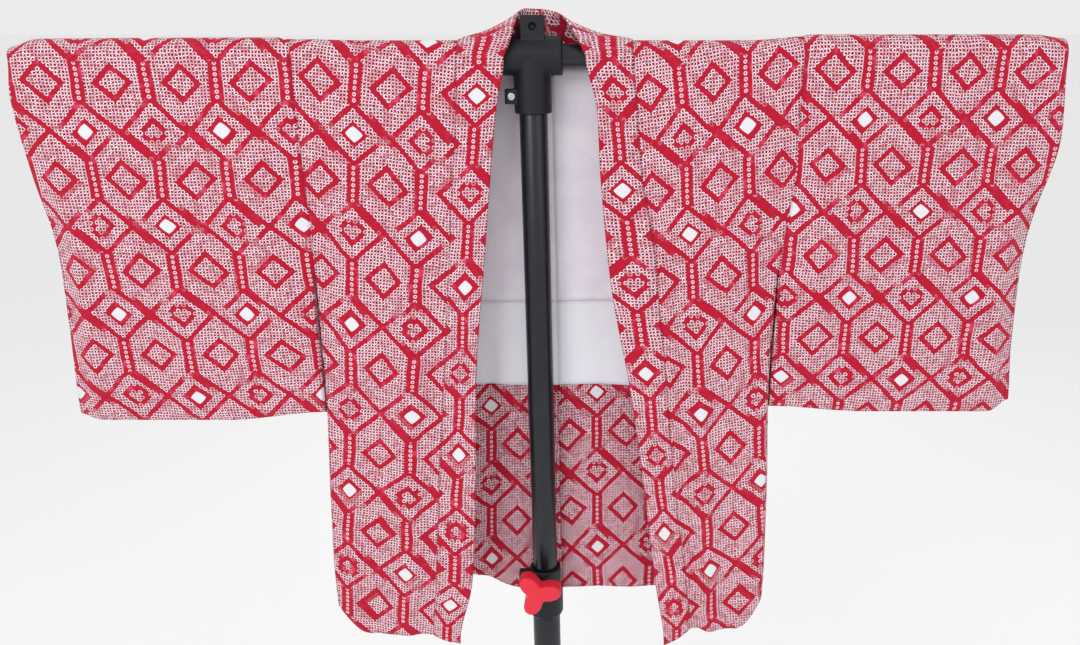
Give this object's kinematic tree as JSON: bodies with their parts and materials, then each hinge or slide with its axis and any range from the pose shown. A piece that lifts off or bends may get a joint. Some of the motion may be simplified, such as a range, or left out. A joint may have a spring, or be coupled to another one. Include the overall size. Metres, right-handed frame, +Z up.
{
  "type": "haori jacket on a display stand",
  "caption": "Short kimono jacket in red and white tie-dyed silk, hung open over the crossbar of a black T-shaped stand with a telescoping mast.",
  "frame": {"origin": "centre of the base plate's underside, on the mast's axis", "axes": "+Z up along the mast, X along the crossbar to the viewer's right, -Y out of the garment's open front"},
  "size_m": [1.284, 0.44, 1.554],
  "materials": {
    "shibori_silk": "tie-dyed crepe silk, red with fine white ringed dots",
    "lining_silk": "thin mauve-white silk",
    "band_silk": "smooth white silk",
    "black_steel": "satin black paint",
    "black_plastic": "moulded black plastic",
    "red_plastic": "moulded red plastic",
    "bright_screw": "bright"
  },
  "bodies": {
    "stand_base": {"base_plate": "black_steel", "base_socket": "black_plastic", "lower_tube": "black_steel", "clamp_collar": "black_plastic"},
    "knob": {"clamp_knob": "red_plastic"},
    "mast": {"body_left": "shibori_silk", "body_right": "shibori_silk", "collar": "shibori_silk", "gusset_left": "shibori_silk", "gusset_right": "shibori_silk", "sleeve_left": "shibori_silk", "sleeve_right": "shibori_silk", "sleeve_lining_left": "lining_silk", "sleeve_lining_right": "lining_silk", "back_lining_left": "lining_silk", "back_lining_right": "lining_silk", "lining_band_left": "band_silk", "lining_band_right": "band_silk", "hem_facing_left": "shibori_silk", "hem_facing_right": "shibori_silk", "upper_tube": "black_steel", "crossbar": "black_steel", "tee_fitting": "black_plastic", "tee_screw": "bright_screw"}
  },
  "joints": [
    {"name": "mast_slide", "type": "slide", "parent": "stand_base", "child": "mast", "axis": [0, 0, 1], "range_m": [-0.25, 0.3]},
    {"name": "knob_turn", "type": "hinge", "parent": "stand_base", "child": "knob", "pos_m": [-0.008, -0.047, 0.77], "axis": [0, -1, 0], "continuous": true}
  ]
}
